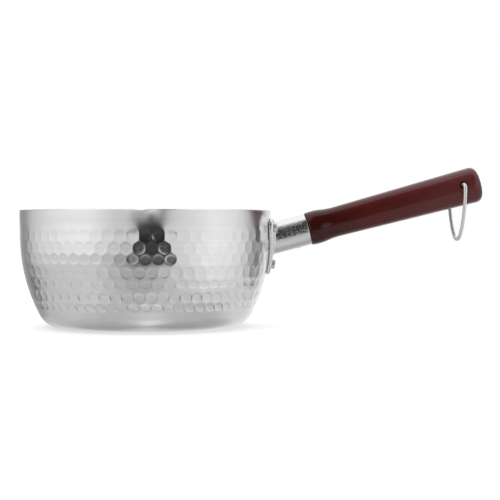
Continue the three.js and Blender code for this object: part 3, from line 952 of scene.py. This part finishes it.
def ground_and_walls(az, el):
    """Brightness of the tent's ground and walls."""
    tables = (WALLS, FAR_GROUND, NEAR_GROUND, UNDERFOOT)
    walls, far_ground, near_ground, level = (np.interp(az, BEARINGS, table) for table in tables)
    right = soft(*RIGHT_FROM, az)
    front = soft(*FRONT_FROM, az)
    back_right = soft(*BACK_RIGHT_FROM, az)
    level = blend(level, near_ground, soft(*UNDERFOOT_TO_NEAR, el))
    far_from, far_full = (blend(*elevations, right) for elevations in NEAR_TO_FAR)
    level = blend(level, far_ground, soft(far_from, far_full, el))
    foot = WALL_FOOT + FRONT_SHIFT[0] * front + RIGHT_SHIFT[0] * right + BACK_RIGHT_SHIFT * back_right
    full = WALL_FULL + FRONT_SHIFT[1] * front + RIGHT_SHIFT[1] * right
    level = blend(level, walls, soft(foot, full, el))
    for depth, bearing, elevation, width, height in PATCHES:
        level = level - depth * np.exp(-(((az - bearing) / width) ** 2) - ((el - elevation) / height) ** 2)
    return level * (1 + WALL_GAIN * soft(*WALL_GAIN_FROM, el))


def camera_side(az, el):
    """Brightness of the dark camera side, and its share of each direction."""
    wide = np.clip(SPREAD_BELOW - el, 0, SPREAD_DEPTH)
    rise = SPREAD_UP * np.maximum(el - SPREAD_ABOVE, 0)
    left = DARK_LEFT - SPREAD_LEFT * wide - rise
    right = DARK_RIGHT + SPREAD_RIGHT * wide + rise
    share = soft(left - DARK_EDGE, left + DARK_EDGE, az)
    share = share * (1 - soft(right - DARK_EDGE, right + DARK_EDGE, az)) * soft(*DARK_FOOT, el)
    return blend(CAMERA_SIDE_LOW, CAMERA_SIDE_HIGH, soft(*CAMERA_SIDE_GRADE, el)), share


def tent_level(az, el):
    """Brightness towards a bearing and an elevation, in degrees."""
    level = blend(ground_and_walls(az, el), *camera_side(az, el))
    slope = np.tan(np.radians(np.clip(el, *CEILING_REACH)))
    towards = np.cos(np.radians(az)) / slope
    aside = np.sin(np.radians(az)) / slope
    overhead = soft(*OVERHEAD_FROM, el)
    side_panel = (1 - soft(*PANEL_SIDE, aside)) * (1 - soft(*PANEL_EDGE, towards))
    ceiling = 1 - soft(*CEILING_EDGE, towards)
    level = blend(level, SIDE_PANEL, side_panel * overhead)
    return blend(level, CEILING, ceiling * overhead)


def light_tent(radius=2.6, around=240, up=120):
    tent_mat, nodes, links, bsdf = material("light_tent")
    nodes.remove(bsdf)
    shown = add_node(nodes, "ShaderNodeVertexColor", layer_name="level")
    glow = add_node(nodes, "ShaderNodeEmission")
    links.new(shown.outputs["Color"], glow.inputs["Color"])
    links.new(glow.outputs[0], nodes["Material Output"].inputs["Surface"])
    bm = bmesh.new()
    bmesh.ops.create_uvsphere(bm, u_segments=around, v_segments=up, radius=radius)
    mesh = bpy.data.meshes.new("light_tent")
    bm.to_mesh(mesh)
    bm.free()
    x, y, z = np.array([v.co[:] for v in mesh.vertices]).T / radius
    level = tent_level(np.degrees(np.arctan2(x, -y)), np.degrees(np.arcsin(z)))
    colours = np.stack([level, level, level, np.ones_like(level)], axis=1)
    mesh.color_attributes.new("level", "FLOAT_COLOR", "POINT").data.foreach_set("color", colours.ravel())
    tent = add_object("light_tent", mesh)
    mesh.materials.append(tent_mat)
    tent.visible_camera = False
    tent.visible_diffuse = False
    tent.visible_shadow = False
    tent.visible_transmission = False


light_tent()

# Room light: white to the camera and in reflections, softer as a lamp
ROOM_LIGHT = 0.7


def room_light():
    world = bpy.context.scene.world or bpy.data.worlds.new("studio")
    bpy.context.scene.world = world
    world.use_nodes = True
    nodes, links = world.node_tree.nodes, world.node_tree.links
    background = nodes["Background"]
    background.inputs["Color"].default_value = (1, 1, 1, 1)
    rays = add_node(nodes, "ShaderNodeLightPath")
    shown = rays.outputs["Is Camera Ray"]
    for kind in ("Is Glossy Ray", "Is Transmission Ray"):
        either = add_node(nodes, "ShaderNodeMath", operation="MAXIMUM")
        links.new(shown, either.inputs[0])
        links.new(rays.outputs[kind], either.inputs[1])
        shown = either.outputs[0]
    strength = add_node(nodes, "ShaderNodeMapRange", {"To Min": ROOM_LIGHT, "To Max": 1.0})
    links.new(shown, strength.inputs["Value"])
    links.new(strength.outputs[0], background.inputs["Strength"])


room_light()

# Overhead lamp, in metres and watts
LAMP_SIZE = (1.6, 1.4)
LAMP_AT = (0.05, 0.1, 1.5)
LAMP_POWER = 9.0
lamp_data = bpy.data.lights.new("overhead", "AREA")
lamp_data.shape = "RECTANGLE"
lamp_data.size, lamp_data.size_y = LAMP_SIZE
lamp_data.energy = LAMP_POWER
lamp = add_object("overhead", lamp_data)
lamp.location = LAMP_AT
lamp.visible_camera = False
lamp.visible_glossy = False

# Camera: just below the rim's height, tipped down a little, with the pan turned a little away
YAW = 2.5 * deg
TIP = 1.107 * deg
CAMERA_AT = Vector((76.85, -1012.0, 76.0))
IMAGE_PIXELS = 500
FOCAL_PIXELS = 1371.5
SENSOR = 36.0
cam_data = bpy.data.cameras.new("camera")
cam_data.sensor_width = SENSOR
cam_data.lens = FOCAL_PIXELS * SENSOR / IMAGE_PIXELS
cam_data.clip_start = 0.01
cam = add_object("camera", cam_data)
aim = Matrix.Translation(CAMERA_AT * MM) @ Matrix.Rotation(math.pi / 2 - TIP, 4, "X")
cam.matrix_world = Matrix.Rotation(-YAW, 4, "Z") @ aim
bpy.context.scene.camera = cam
bpy.context.scene.view_settings.view_transform = "Standard"
